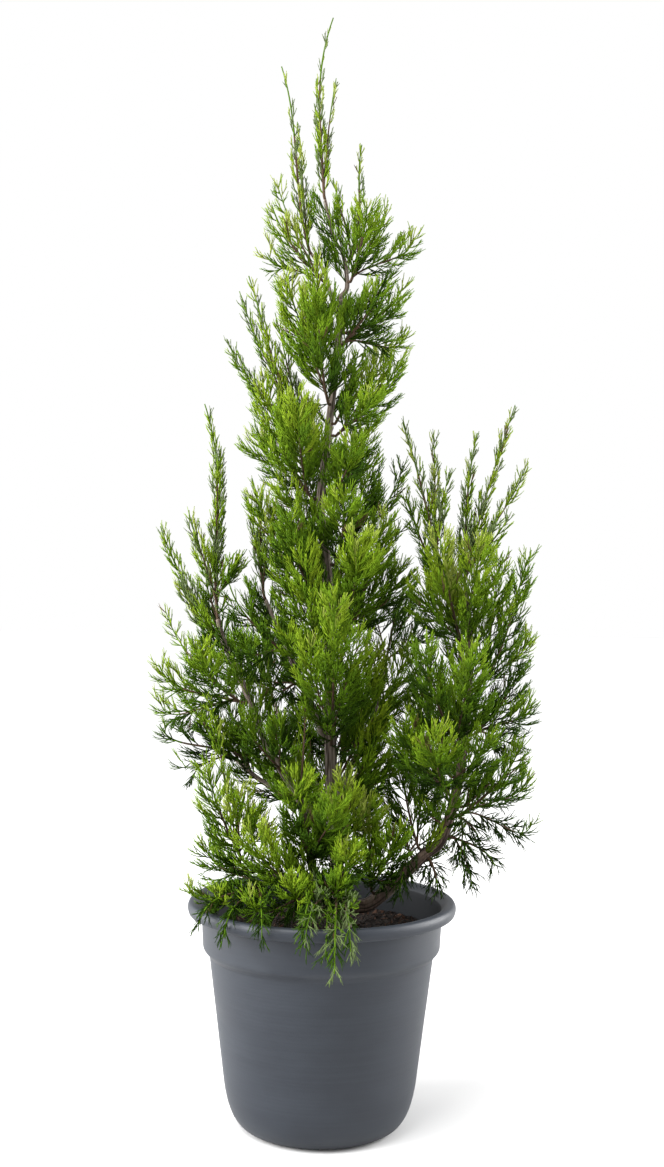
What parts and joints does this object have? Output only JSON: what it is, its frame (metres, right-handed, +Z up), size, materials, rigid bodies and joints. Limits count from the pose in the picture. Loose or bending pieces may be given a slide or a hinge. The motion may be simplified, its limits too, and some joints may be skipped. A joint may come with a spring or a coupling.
{
  "type": "potted juniper",
  "caption": "Upright garden juniper with a slender trunk, rising boughs and feathery evergreen sprays, growing in a round nursery pot filled with soil.",
  "frame": {"origin": "middle of the pot's flat underside", "axes": "+Z up along the pot's axis; the side the picture shows faces -Y, and +X is its right"},
  "size_m": [0.4382, 0.3711, 1.234],
  "materials": {
    "pot_plastic": "matt grey moulded plastic",
    "soil_mix": "rough, crumbly, moist potting mix",
    "bark_grey": "rough greyish-brown bark",
    "bark_brown": "rough dark reddish-brown bark",
    "foliage_bright": "matt yellow-green scale leaves",
    "foliage_green": "matt mid-green scale leaves",
    "foliage_dark": "matt dark green scale leaves",
    "foliage_tip": "matt greyish-green young shoots"
  },
  "bodies": {
    "root": {"bottom_centre": "foliage_bright", "bottom_right": "foliage_green", "bottom_right_inner": "foliage_dark", "centre_front": "foliage_bright", "centre_left_front": "foliage_bright", "centre_right_low": "foliage_green", "centre_top": "foliage_bright", "crown_lead": "foliage_tip", "front_left": "foliage_bright", "front_stem": "bark_brown", "front_stem_top": "foliage_bright", "left_bough": "bark_grey", "left_column": "foliage_bright", "left_inner": "foliage_dark", "left_inner_twigs": "foliage_dark", "left_lead": "foliage_tip", "left_leader": "bark_grey", "left_low_bough": "bark_grey", "left_low_mid": "foliage_green", "left_mid": "foliage_bright", "left_outer": "foliage_bright", "left_shoulder": "foliage_bright", "left_side_bough": "bark_grey", "left_spire": "foliage_tip", "left_spire_outer": "foliage_tip", "left_sub_spire": "foliage_tip", "left_tufts": "foliage_bright", "left_under": "foliage_dark", "left_upper_bough": "bark_grey", "pot": "pot_plastic", "rear_left": "foliage_dark", "rear_left_bough": "bark_grey", "rear_low": "foliage_dark", "rear_mid": "foliage_dark", "rear_right": "foliage_dark", "rear_right_bough": "bark_grey", "right_body_front": "foliage_bright", "right_centre": "foliage_green", "right_droop": "foliage_green", "right_inner_bough": "bark_brown", "right_inner_spire": "foliage_tip", "right_lead": "foliage_tip", "right_leader": "bark_grey", "right_low_front": "foliage_green", "right_low_mid": "foliage_dark", "right_low_outer": "foliage_green", "right_lower_front": "foliage_green", "right_lower_outer": "foliage_green", "right_mid": "foliage_green", "right_mid_low": "foliage_green", "right_outer": "foliage_green", "right_rear_upper": "foliage_dark", "right_shoulder": "foliage_green", "right_spire": "foliage_tip", "right_stem": "bark_brown", "right_upper": "foliage_green", "rim_left": "foliage_bright", "rim_sprig": "foliage_bright", "soil": "soil_mix", "trunk": "bark_grey"}
  },
  "joints": []
}
